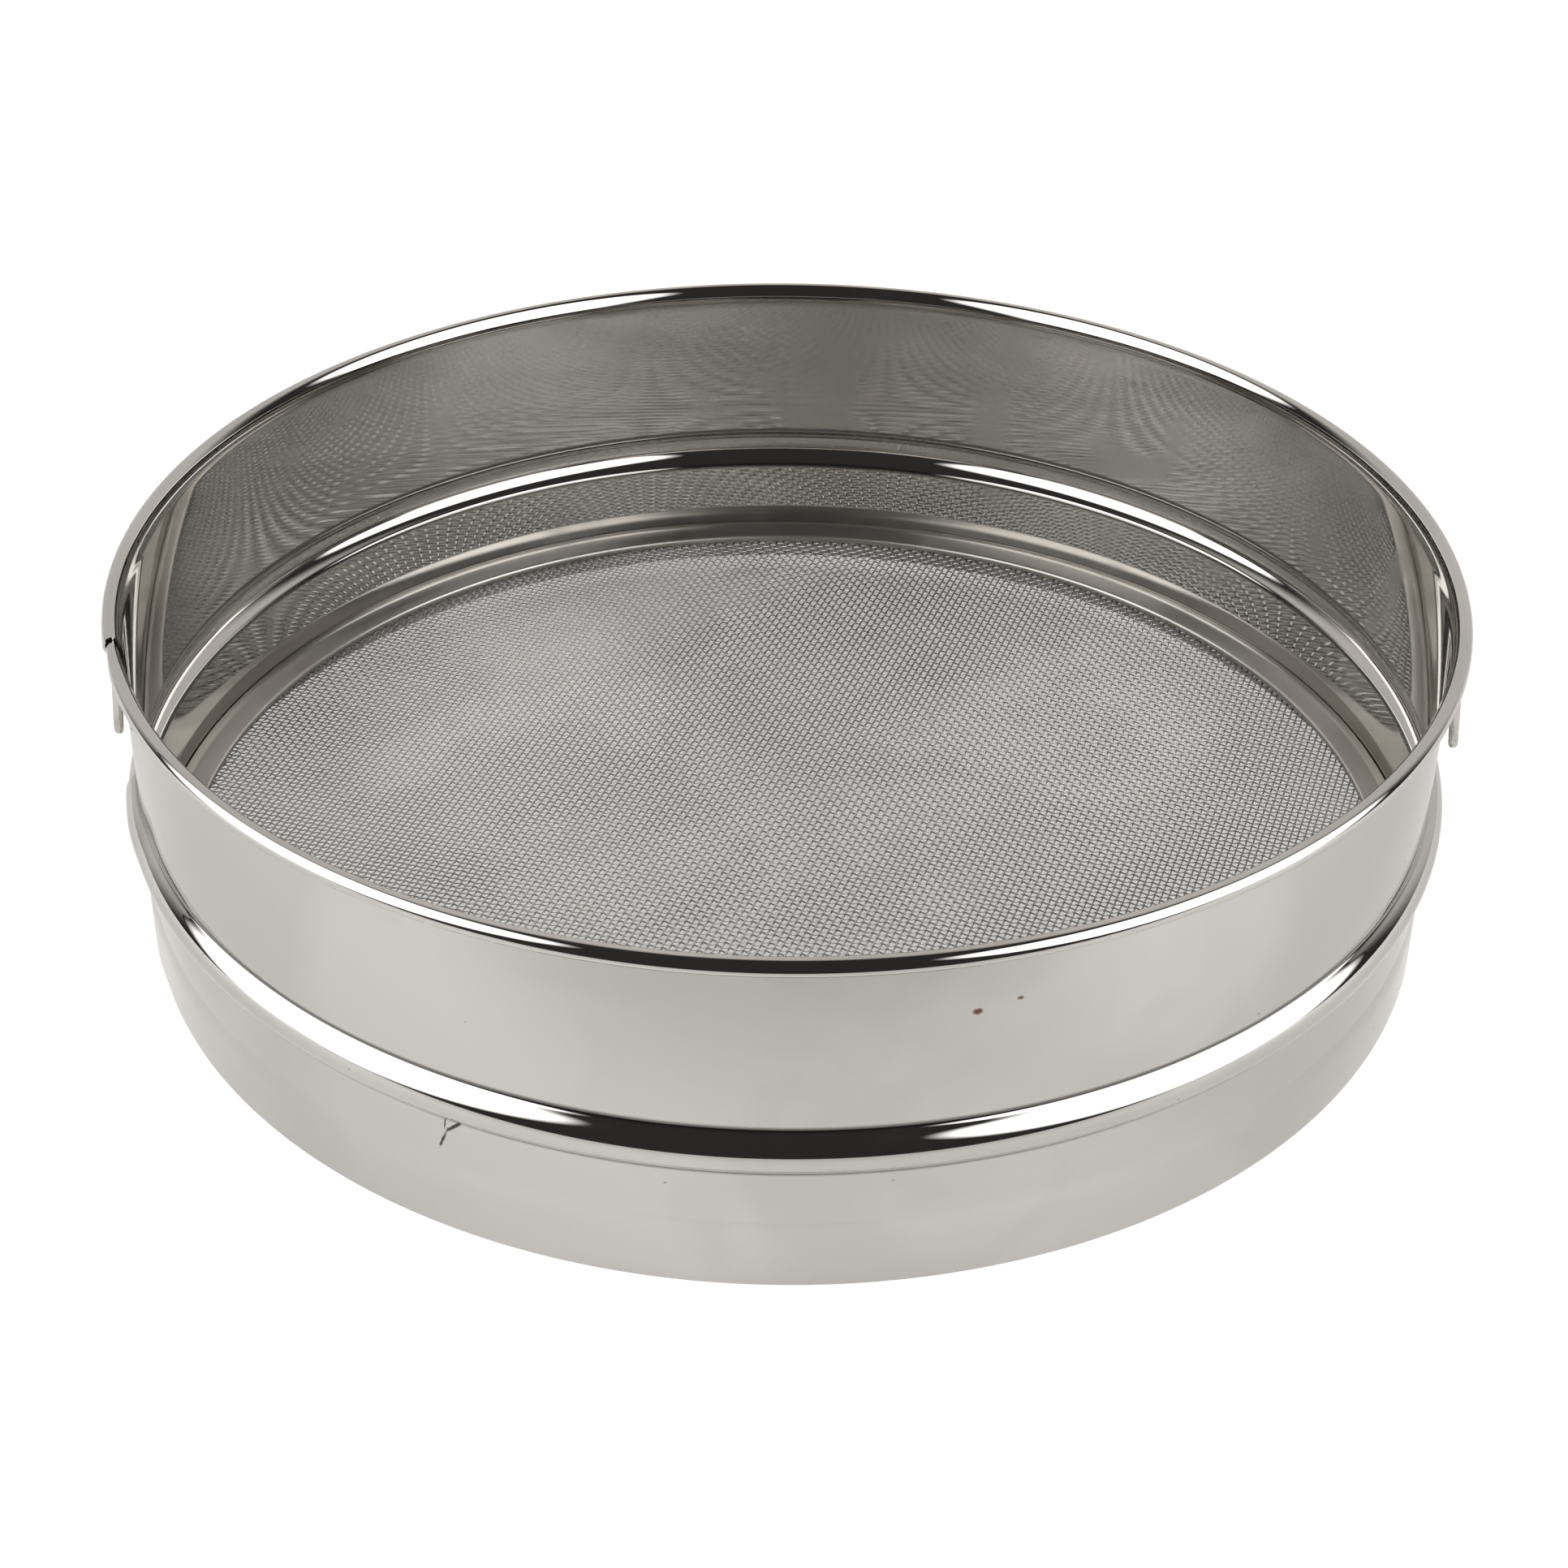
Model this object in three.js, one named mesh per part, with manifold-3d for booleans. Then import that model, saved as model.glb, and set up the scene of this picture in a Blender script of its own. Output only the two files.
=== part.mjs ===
// Drum sieve of polished stainless steel. A strip of sheet is rolled into a hoop with a curled rim, a
// raised bead and a plain skirt. A woven screen sits low inside it, gripped in a folded ring, and two
// wire loops hang under the rim. Millimetres, +Z up, origin at the centre of the bottom edge.
import * as THREE from "three";
import { mergeVertices } from "three/addons/utils/BufferGeometryUtils.js";
import Module from "manifold-3d";

// Hoop
const rimDiameter = 300;
const overallHeight = 81;
const hoopSheet = 0.5;
const curlWidth = 4.2;
const curlHeight = 4.2;
const flareRise = 5.8;
const curlLipGap = 0.5;

// Raised bead round the wall
const beadMiddle = 33.5;
const beadHeight = 11.4;
const beadProud = 3.2;
const beadFillet = 1.4;

// Slight step down to the skirt, which is wider than the wall so that the screen's ring goes in from below
const stepAboveRing = 4.43;
const stepRun = 5;
const skirtWidening = 0.5;

// Lapped seam of the strip, and the joint it leaves in the rim
const seamAzimuth = THREE.MathUtils.degToRad(-75);
const seamLap = 12;
const rimJointWidth = 0.8;
const rimJointDepth = 0.3;

// Woven screen: its weave, and how many openings each modelled gap stands for along one side
const screenLevel = 7.6;
const wireDiameter = 0.42;
const weavePitch = 1.584;
const openingsPerGap = 11;
const weaveAngle = THREE.MathUtils.degToRad(72);
const screenMargin = 1;

// Folded ring that grips the screen's edge
const ringSheet = 0.5;
const ringWidth = 7.7;
const ringRise = 3.4;
const ringTopWidth = 2.7;
const ringTopDip = 0.8;
const ringNoseRise = 1.25;
const ringGripWidth = 3;
const ringBend = 0.6;

// Wire loops for hanging
const loopWire = 2.1;
const loopWidth = 20;
const loopLength = 20;
const loopLean = THREE.MathUtils.degToRad(4.2);
const loopAzimuth = THREE.MathUtils.degToRad(77.3);

// Clearance between pieces that touch, and fineness of the round shapes
const fitGap = 0.3;
const turnSteps = 60;
const curlQuarterSteps = 3;
const beadSteps = 6;
const filletSteps = 2;
const stepSteps = 3;
const bendSteps = 1;
const wireSides = 8;
const loopSteps = 26;
const mergeDistance = 1e-4;

// Sizes that follow from the values above
const rimRadius = rimDiameter / 2;
const wallOuter = rimRadius - curlWidth + hoopSheet;
const wallMiddle = wallOuter - hoopSheet / 2;
const skirtInner = wallOuter - hoopSheet + skirtWidening;
const screenThickness = 2 * wireDiameter;
const screenTop = screenLevel + screenThickness / 2;
const screenBottom = screenLevel - screenThickness / 2;
const ringOuter = skirtInner - fitGap;
const ringTop = screenTop + ringRise;
const ringNose = ringOuter - ringWidth;
const screenRadius = ringOuter - ringSheet - fitGap;
const stepTop = ringTop + stepAboveRing;
const curlBottom = overallHeight - curlHeight;
const flareBottom = overallHeight - flareRise;
const seamLapAngle = seamLap / wallOuter;

const wasm = await Module();
wasm.setup();

// Point of a section: its distance from the axis, and its height
function at(radius, height) {
  return new THREE.Vector2(radius, height);
}

// Points along an arc about a centre, both ends included; angles run from outwards towards up
function arc(centre, radius, from, to, steps) {
  return Array.from({ length: steps + 1 }, (_, i) => {
    const angle = from + ((to - from) * i) / steps;
    return at(centre.x + radius * Math.cos(angle), centre.y + radius * Math.sin(angle));
  });
}

// Line with each of its inner corners cut back by a bend
function bent(corners, bend) {
  return corners.flatMap((corner, i) => {
    if (i === 0 || i === corners.length - 1) return [corner];
    const before = corners[i - 1].clone().sub(corner);
    const after = corners[i + 1].clone().sub(corner);
    const cut = Math.min(bend, before.length() / 2, after.length() / 2);
    const start = corner.clone().addScaledVector(before.normalize(), cut);
    const end = corner.clone().addScaledVector(after.normalize(), cut);
    return new THREE.QuadraticBezierCurve(start, corner, end).getPoints(bendSteps);
  });
}

// Line moved sideways by an offset, to the right of its direction
function offsetLine(line, offset) {
  const side = (from, to) => {
    const along = to.clone().sub(from).normalize();
    return at(along.y, -along.x);
  };
  return line.map((point, i) => {
    const before = side(line[Math.max(i - 1, 0)], line[Math.max(i, 1)]);
    const after = side(line[Math.min(i, line.length - 2)], line[Math.min(i + 1, line.length - 1)]);
    const mean = before.clone().add(after).normalize();
    return point.clone().addScaledVector(mean, offset / mean.dot(before));
  });
}

// Solid of revolution of a bent sheet, between two offsets from its line
function turnedSheet(line, inside, outside) {
  const outline = [...offsetLine(line, outside), ...offsetLine(line, inside).reverse()];
  const geometry = new THREE.LatheGeometry([...outline, outline[0]], turnSteps);
  return geometry.rotateX(Math.PI / 2);
}

// Upright sector between two azimuths, which are counted from the front towards +X
function sector(from, to, innerRadius, outerRadius, bottom, top) {
  const corner = (radius, azimuth) => at(radius * Math.sin(azimuth), -radius * Math.cos(azimuth));
  const shape = new THREE.Shape([
    corner(innerRadius, from),
    corner(outerRadius, from),
    corner(outerRadius, to),
    corner(innerRadius, to),
  ]);
  const geometry = new THREE.ExtrudeGeometry(shape, { depth: top - bottom, bevelEnabled: false });
  return geometry.translate(0, 0, bottom);
}

// Closed geometry as a solid that can be joined and cut
function solidOf(geometry) {
  const bare = geometry.clone();
  bare.deleteAttribute("normal");
  bare.deleteAttribute("uv");
  const merged = mergeVertices(bare, mergeDistance);
  const vertProperties = merged.attributes.position.array;
  const triVerts = new Uint32Array(merged.index.array);
  return new wasm.Manifold(new wasm.Mesh({ numProp: 3, vertProperties, triVerts }));
}

// Geometry of a joined or cut solid
function geometryOf(solid) {
  const { vertProperties, triVerts } = solid.getMesh();
  const geometry = new THREE.BufferGeometry();
  geometry.setAttribute("position", new THREE.BufferAttribute(vertProperties, 3));
  geometry.setIndex(new THREE.BufferAttribute(triVerts, 1));
  geometry.computeVertexNormals();
  return geometry;
}

// Named piece in its finish
function piece(name, geometry, finish) {
  const mesh = new THREE.Mesh(geometry, finish);
  mesh.name = name;
  return mesh;
}

const polishedSteel = new THREE.MeshStandardMaterial({ color: 0xc6c2bc, roughness: 0.14, metalness: 1 });
const ringSteel = new THREE.MeshStandardMaterial({ color: 0xb9b4ac, roughness: 0.2, metalness: 1 });
const wovenSteel = new THREE.MeshStandardMaterial({ color: 0xa8a7a1, roughness: 0.35, metalness: 1 });
const wireSteel = new THREE.MeshStandardMaterial({ color: 0xbdbab5, roughness: 0.22, metalness: 1 });

// Middle line of the hoop's sheet from the bottom edge up to the foot of the curl
function wallLine() {
  const step = Array.from({ length: stepSteps + 1 }, (_, i) => {
    const drop = 1 - i / stepSteps;
    const widening = skirtWidening * drop * (2 - drop);
    return at(wallMiddle + widening, stepTop - stepRun * drop);
  });
  const half = beadHeight / 2;
  const flank = 2 * Math.atan(beadProud / half);
  const crown = half / Math.sin(flank) - beadFillet;
  const foot = at(wallMiddle + beadFillet, beadMiddle - half);
  const crest = at(wallMiddle + beadProud - crown, beadMiddle);
  const head = at(wallMiddle + beadFillet, beadMiddle + half);
  return [
    at(wallMiddle + skirtWidening, 0),
    ...step,
    ...arc(foot, beadFillet, Math.PI, Math.PI - flank, filletSteps).slice(0, -1),
    ...arc(crest, crown, -flank, flank, beadSteps),
    ...arc(head, beadFillet, Math.PI + flank, Math.PI, filletSteps).slice(1),
  ];
}

// Middle line of the curl: the wall flares up to the top, then a round turn goes outwards and back
// under, until its lip nears the wall
function curlLine() {
  const across = (curlWidth - hoopSheet) / 2;
  const up = (curlHeight - hoopSheet) / 2;
  const centre = wallMiddle + across;
  const sweep = 2 * Math.PI - Math.acos(1 - (hoopSheet + curlLipGap) / across);
  const stride = Math.PI / 2 / curlQuarterSteps;
  return Array.from({ length: Math.ceil(sweep / stride) + 1 }, (_, i) => {
    const turn = Math.min(i * stride, sweep);
    const radius = centre - across * Math.cos(turn);
    return i < curlQuarterSteps
      ? at(radius, flareBottom + (flareRise - hoopSheet / 2) * Math.sin(turn))
      : at(radius, curlBottom + curlHeight / 2 + up * Math.sin(turn));
  });
}

// Hoop: the rolled strip, its lapped seam, and the joint line that the seam leaves in the rim
function hoop() {
  const wall = wallLine();
  const curl = curlLine();
  const half = hoopSheet / 2;
  const strip = solidOf(turnedSheet([...wall, ...curl], -half, half));
  const near = wallMiddle - beadProud;
  const far = rimRadius + hoopSheet;
  const lapSector = sector(seamAzimuth - seamLapAngle, seamAzimuth, near, far, 0, curlBottom - fitGap);
  const lapSheet = turnedSheet([...wall, curl[0]], 0, half + hoopSheet);
  const lap = solidOf(lapSheet).intersect(solidOf(lapSector));
  const jointAngle = rimJointWidth / rimRadius;
  const jointSector = sector(seamAzimuth, seamAzimuth + jointAngle, near, far, curlBottom, overallHeight);
  const jointSheet = turnedSheet(curl, half - rimJointDepth, half + rimJointDepth);
  const joint = solidOf(jointSheet).intersect(solidOf(jointSector));
  return piece("hoop", geometryOf(strip.add(lap).subtract(joint)), polishedSteel);
}

// Folded ring: a leaf under the screen, up the skirt, a top that rises to a ridge, a sloped face and a
// nose that turns back over the screen
function bindingRing() {
  const half = ringSheet / 2;
  const under = screenBottom - fitGap - half;
  const over = screenTop + fitGap + half;
  const outer = ringOuter - half;
  const top = ringTop - half;
  const nose = ringNose + half;
  const corners = [
    at(ringNose + ringGripWidth, under),
    at(outer, under),
    at(outer, top - ringTopDip),
    at(ringOuter - ringTopWidth, top),
    at(nose, over + ringNoseRise),
    at(nose, over),
    at(nose + ringGripWidth, over),
  ];
  return piece("binding_ring", turnedSheet(bent(corners, ringBend), -half, half), ringSteel);
}

// Woven screen as a flat net whose gaps keep the weave's angle and its share of open area
function screen() {
  const pitch = openingsPerGap * weavePitch;
  const side = openingsPerGap * (weavePitch - wireDiameter);
  const reach = ringNose - screenMargin;
  const count = Math.ceil(reach / pitch);
  const outline = Array.from({ length: turnSteps }, (_, i) => {
    const azimuth = (2 * Math.PI * i) / turnSteps;
    return at(screenRadius * Math.sin(azimuth), -screenRadius * Math.cos(azimuth));
  });
  const contours = [outline];
  const centre = at(0, 0);
  for (let row = -count; row <= count; row += 1) {
    for (let column = -count; column <= count; column += 1) {
      const corners = [
        [-1, -1],
        [1, -1],
        [1, 1],
        [-1, 1],
      ].map(([x, y]) => {
        const corner = at(column * pitch + (x * side) / 2, row * pitch + (y * side) / 2);
        return corner.rotateAround(centre, weaveAngle);
      });
      if (corners.every((corner) => corner.length() < reach)) contours.push(corners);
    }
  }
  const plan = contours.map((contour) => contour.map((point) => point.toArray()));
  const net = new wasm.CrossSection(plan, "EvenOdd").extrude(screenThickness);
  return piece("screen", geometryOf(net).translate(0, 0, screenBottom), wovenSteel);
}

// Wire loop: two legs down from the weld under the rim and a round bend between them
function hangingLoop(name, azimuth) {
  const radius = (loopWidth - loopWire) / 2;
  const bendLevel = radius + loopWire / 2 - loopLength;
  const bend = new THREE.EllipseCurve(0, bendLevel, radius, radius, Math.PI, 2 * Math.PI);
  const flat = new THREE.CurvePath();
  flat.add(new THREE.LineCurve(at(-radius, 0), at(-radius, bendLevel)));
  flat.add(bend);
  flat.add(new THREE.LineCurve(at(radius, bendLevel), at(radius, 0)));
  const points = flat.getSpacedPoints(loopSteps).map((point) => new THREE.Vector3(point.x, 0, point.y));
  const section = new THREE.Shape(arc(at(0, 0), loopWire / 2, 0, 2 * Math.PI, wireSides).slice(0, -1));
  const extrudePath = new THREE.CatmullRomCurve3(points);
  const geometry = new THREE.ExtrudeGeometry(section, { steps: loopSteps, extrudePath });
  const loop = piece(name, geometry, wireSteel);
  loop.position.set(0, -(wallOuter + fitGap + loopWire / 2), flareBottom - fitGap);
  loop.rotation.x = -loopLean;
  const turn = new THREE.Group();
  turn.rotation.z = azimuth;
  turn.add(loop);
  return turn;
}

const sieve = new THREE.Group();
sieve.add(
  hoop(),
  bindingRing(),
  screen(),
  hangingLoop("hanging_loop_left", -loopAzimuth),
  hangingLoop("hanging_loop_right", loopAzimuth),
);

export default sieve;
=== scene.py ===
"""Looks of a polished steel drum sieve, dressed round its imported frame.

Sizes in the classes are millimetres. Meshes are metres in the frame's own axes: +Z is up, the front of
the sieve faces -Y, and azimuths count from the front towards +X.
"""

import logging
import math
import random
from dataclasses import dataclass
from enum import Enum

import bmesh
import bpy
from mathutils import Matrix, Vector


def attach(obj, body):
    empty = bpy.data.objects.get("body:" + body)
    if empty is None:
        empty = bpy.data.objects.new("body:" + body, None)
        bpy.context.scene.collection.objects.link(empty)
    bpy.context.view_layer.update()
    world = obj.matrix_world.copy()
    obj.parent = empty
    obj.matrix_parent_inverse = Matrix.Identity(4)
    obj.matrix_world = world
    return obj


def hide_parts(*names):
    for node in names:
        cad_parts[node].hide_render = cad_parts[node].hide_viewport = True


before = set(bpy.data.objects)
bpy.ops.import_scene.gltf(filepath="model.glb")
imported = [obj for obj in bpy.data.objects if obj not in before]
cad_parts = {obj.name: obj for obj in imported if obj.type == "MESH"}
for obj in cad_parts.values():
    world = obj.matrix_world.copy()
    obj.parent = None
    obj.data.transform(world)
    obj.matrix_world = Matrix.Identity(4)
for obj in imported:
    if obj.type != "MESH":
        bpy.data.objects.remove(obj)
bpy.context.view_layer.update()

MM = 0.001
FULL_TURN = 2.0 * math.pi
RISING = (0.0, 1.0)
FALLING = (1.0, 0.0)
WHITE = (1.0, 1.0, 1.0)
# Near-black of the ragged marks round a torn sliver: painted shadow, with dirt.
SLIVER_SHADOW_AND_DIRT = (0.03, 0.028, 0.025)
BODY = "root"
LOG = logging.getLogger("drum_sieve")
Line = list[Vector]
Span = tuple[float, float]
Colour = tuple[float, float, float]


class Side(Enum):
    """Side of the sieve that a hanging loop is on; the value is the sign of its azimuth."""

    LEFT = -1
    RIGHT = 1


class WireRun(Enum):
    """Run of wires in the weave; the value is the sign of the wave that it starts on."""

    WARP = 1
    WEFT = -1


# Sections and meshes


def arc(centre: Vector, radius: float, start: float, end: float, steps: int) -> Line:
    """Points along an arc, both ends included.

    Args:
        centre: Centre of the arc, as radius and height.
        radius: Radius of the arc.
        start: First angle, from outwards towards up.
        end: Last angle.
        steps: Number of straight steps.

    Returns:
        The points in order.
    """
    angles = [start + (end - start) * i / steps for i in range(steps + 1)]
    return [centre + radius * Vector((math.cos(a), math.sin(a))) for a in angles]


def upright(radius: float, bottom: float, top: float, steps: int) -> Line:
    """Points up a plain wall.

    Args:
        radius: Distance of the wall from the axis.
        bottom: Lowest height.
        top: Highest height.
        steps: Number of equal steps.

    Returns:
        The points from the bottom up.
    """
    return [Vector((radius, bottom + (top - bottom) * i / steps)) for i in range(steps + 1)]


def rounded(corners: Line, bends: tuple[float, ...], steps: int) -> Line:
    """Line with its inner corners rounded.

    Args:
        corners: Corner points in order.
        bends: How far each inner corner is cut back.
        steps: Number of steps round each corner.

    Returns:
        The rounded line.
    """
    line = [corners[0]]
    for before, corner, after, bend in zip(corners, corners[1:], corners[2:], bends):
        start = corner + (before - corner).normalized() * bend
        end = corner + (after - corner).normalized() * bend
        for i in range(steps + 1):
            t = i / steps
            line.append(start.lerp(corner, t).lerp(corner.lerp(end, t), t))
    return [*line, corners[-1]]


def side_normals(line: Line) -> Line:
    """Unit normals to the right of a line, stretched at its corners so that a sheet keeps its thickness.

    Args:
        line: Points of the line in order.

    Returns:
        One normal for each point.
    """
    sides = []
    for start, end in zip(line, line[1:]):
        along = (end - start).normalized()
        sides.append(Vector((along.y, -along.x)))
    normals = [sides[0]]
    for before, after in zip(sides, sides[1:]):
        mean = (before + after).normalized()
        normals.append(mean / mean.dot(before))
    return [*normals, sides[-1]]


def sheet_outline(line: Line, normals: Line, thickness: float) -> Line:
    """Closed section of a sheet.

    Args:
        line: Middle line of the sheet.
        normals: Normals of that line.
        thickness: Thickness of the sheet.

    Returns:
        The outer side in order, then the inner side back to the start.
    """
    half = thickness / 2
    outer = [p + n * half for p, n in zip(line, normals)]
    inner = [p - n * half for p, n in zip(line, normals)]
    return [*outer, *reversed(inner)]


def smooth_step(value: float) -> float:
    """Eased value between 0 and 1."""
    clamped = min(max(value, 0.0), 1.0)
    return clamped * clamped * (3.0 - 2.0 * clamped)


def place_at(azimuth: float, radius: float, height: float) -> Vector:
    """Point in metres at an azimuth, radius and height."""
    return Vector((radius * math.sin(azimuth), -radius * math.cos(azimuth), height)) * MM


def spun(outline: Line, start: float, sweep: float, steps: int) -> bmesh.types.BMesh:
    """Closed outline spun round the sieve's axis.

    Args:
        outline: Closed section as radius and height, without its first point repeated.
        start: Azimuth of the first section.
        sweep: Angle of the spin.
        steps: Number of steps.

    Returns:
        The spun mesh: merged where the spin is a full turn, and otherwise capped at both ends.
    """
    bm = bmesh.new()
    verts = [bm.verts.new(place_at(start, p.x, p.y)) for p in outline]
    edges = [bm.edges.new(pair) for pair in zip(verts, [*verts[1:], verts[0]])]
    full = math.isclose(sweep, FULL_TURN)
    made = bmesh.ops.spin(
        bm, geom=[*verts, *edges], cent=(0, 0, 0), axis=(0, 0, 1), dvec=(0, 0, 0),
        angle=sweep, steps=steps, use_merge=full,
    )
    if not full:
        last = [e for e in made["geom_last"] if isinstance(e, bmesh.types.BMEdge)]
        bmesh.ops.edgeloop_fill(bm, edges=edges)
        bmesh.ops.edgeloop_fill(bm, edges=last)
    return bm


def mesh_object(name: str, bm: bmesh.types.BMesh, material: bpy.types.Material) -> bpy.types.Object:
    """New object in the scene.

    Args:
        name: Name of the object.
        bm: Its mesh, which is freed.
        material: Its finish.

    Returns:
        The object.
    """
    mesh = bpy.data.meshes.new(name)
    bm.to_mesh(mesh)
    bm.free()
    mesh.materials.append(material)
    made = bpy.data.objects.new(name, mesh)
    bpy.context.scene.collection.objects.link(made)
    return made


def make_piece(name: str, bm: bmesh.types.BMesh, material: bpy.types.Material,
               nodes: list[str], crease: float = 35.0) -> bpy.types.Object:
    """Finished piece of the sieve that rides on its body and stands for its nodes.

    Args:
        name: Name of the piece.
        bm: Its mesh, which is freed.
        material: Its finish.
        nodes: Nodes of the frame that it stands for.
        crease: Angle in degrees past which an edge stays sharp.

    Returns:
        The object.
    """
    bmesh.ops.recalc_face_normals(bm, faces=bm.faces[:])
    piece = mesh_object(name, bm, material)
    piece.data.shade_smooth()
    piece.data.set_sharp_from_angle(angle=math.radians(crease))
    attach(piece, BODY)
    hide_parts(*nodes)
    LOG.info("%s: %d faces", name, len(piece.data.polygons))
    return piece


# Finishes


class Graph:
    """Writer of a shader's node tree."""

    def __init__(self, tree: bpy.types.NodeTree) -> None:
        """Start on an empty tree."""
        self.tree = tree
        tree.nodes.clear()

    def node(self, kind: str, inputs: dict | None = None, **settings: object) -> bpy.types.Node:
        """Add a node.

        Args:
            kind: Type of the node.
            inputs: Socket names or numbers with their values; a socket as value is linked.
            settings: Properties of the node.

        Returns:
            The node.
        """
        made = self.tree.nodes.new(kind)
        for key, value in settings.items():
            setattr(made, key, value)
        for key, value in (inputs or {}).items():
            if isinstance(value, bpy.types.NodeSocket):
                self.tree.links.new(value, made.inputs[key])
            else:
                made.inputs[key].default_value = value
        return made

    def coords(self) -> bpy.types.NodeSocket:
        """Object coordinates."""
        return self.node("ShaderNodeTexCoord").outputs["Object"]

    def part(self, vector: bpy.types.NodeSocket, axis: str) -> bpy.types.NodeSocket:
        """Part of a vector along an axis."""
        return self.node("ShaderNodeSeparateXYZ", {0: vector}).outputs[axis]

    def length(self, vector: bpy.types.NodeSocket) -> bpy.types.NodeSocket:
        """Length of a vector."""
        return self.node("ShaderNodeVectorMath", {0: vector}, operation="LENGTH").outputs["Value"]

    def math(self, operation: str, *values: object, clamp: bool = False) -> bpy.types.NodeSocket:
        """Result of a maths node on sockets or numbers."""
        made = self.node("ShaderNodeMath", dict(enumerate(values)), operation=operation, use_clamp=clamp)
        return made.outputs[0]

    def span(self, value: bpy.types.NodeSocket, source: Span,
             target: Span = RISING) -> bpy.types.NodeSocket:
        """Value eased from one span into another.

        Args:
            value: The value.
            source: Span that it is measured in.
            target: Span that it is carried into.

        Returns:
            The eased value.
        """
        (low, high), (to_low, to_high) = source, target
        made = self.node(
            "ShaderNodeMapRange",
            {"Value": value, "From Min": low, "From Max": high, "To Min": to_low, "To Max": to_high},
            interpolation_type="SMOOTHSTEP",
        )
        return made.outputs["Result"]

    def noise(self, vector: bpy.types.NodeSocket, scale: float, detail: float,
              distortion: float = 0.0) -> bpy.types.NodeSocket:
        """Noise between 0 and 1 at a scale per metre."""
        made = self.node(
            "ShaderNodeTexNoise",
            {"Vector": vector, "Scale": scale, "Detail": detail, "Distortion": distortion},
        )
        return made.outputs["Fac"]

    def mix(self, share: object, first: object, second: object) -> bpy.types.NodeSocket:
        """Colour between two colours.

        Args:
            share: Share of the second colour.
            first: First colour, as a socket or as numbers.
            second: Second colour, as a socket or as numbers.

        Returns:
            The mixed colour.
        """
        made = self.node("ShaderNodeMix", {"Factor": share}, data_type="RGBA")
        for socket, value in zip((made.inputs[6], made.inputs[7]), (first, second)):
            if isinstance(value, bpy.types.NodeSocket):
                self.tree.links.new(value, socket)
            else:
                socket.default_value = (*value, 1.0)
        return made.outputs[2]

    def matt(self, colour: bpy.types.NodeSocket, strength: object) -> None:
        """End the tree in a matt surface with a glow of its own.

        Args:
            colour: Colour of the surface.
            strength: Strength of the glow.
        """
        diffuse = self.node("ShaderNodeBsdfDiffuse", {"Color": colour})
        glow = self.node("ShaderNodeEmission", {"Strength": strength})
        both = self.node("ShaderNodeAddShader", {0: diffuse.outputs[0], 1: glow.outputs[0]})
        self.node("ShaderNodeOutputMaterial", {"Surface": both.outputs[0]})


def new_material(name: str) -> tuple[bpy.types.Material, Graph]:
    """Empty material and the writer of its tree.

    Args:
        name: Name of the material.

    Returns:
        The material and its writer.
    """
    material = bpy.data.materials.new(name)
    material.use_nodes = True
    return material, Graph(material.node_tree)


@dataclass(frozen=True)
class Blemish:
    """Small ragged mark on the hoop: its place, its half sizes across and up, its lean and its colour."""

    azimuth: float
    radius: float
    height: float
    across: float
    up: float
    lean: float
    colour: Colour
    deep: float = 6.0
    ragged_scale: float = 900.0
    ragged_depth: float = 0.9
    edge: Span = (0.9, 1.45)

    def mask(self, graph: Graph, coords: bpy.types.NodeSocket) -> bpy.types.NodeSocket:
        """Mask of the mark, 1 inside it.

        Args:
            graph: Tree to write in.
            coords: Object coordinates.

        Returns:
            The mask.
        """
        azimuth = math.radians(self.azimuth)
        local = graph.node(
            "ShaderNodeMapping",
            {
                "Vector": coords,
                "Location": place_at(azimuth, self.radius, self.height),
                "Rotation": (0.0, math.radians(self.lean), azimuth),
                "Scale": (self.across * MM, self.deep * MM, self.up * MM),
            },
            vector_type="TEXTURE",
        ).outputs["Vector"]
        grain = graph.noise(coords, self.ragged_scale, detail=2.0)
        ragged = graph.math("MULTIPLY_ADD", grain, self.ragged_depth, graph.length(local))
        return graph.span(ragged, self.edge, FALLING)


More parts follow.
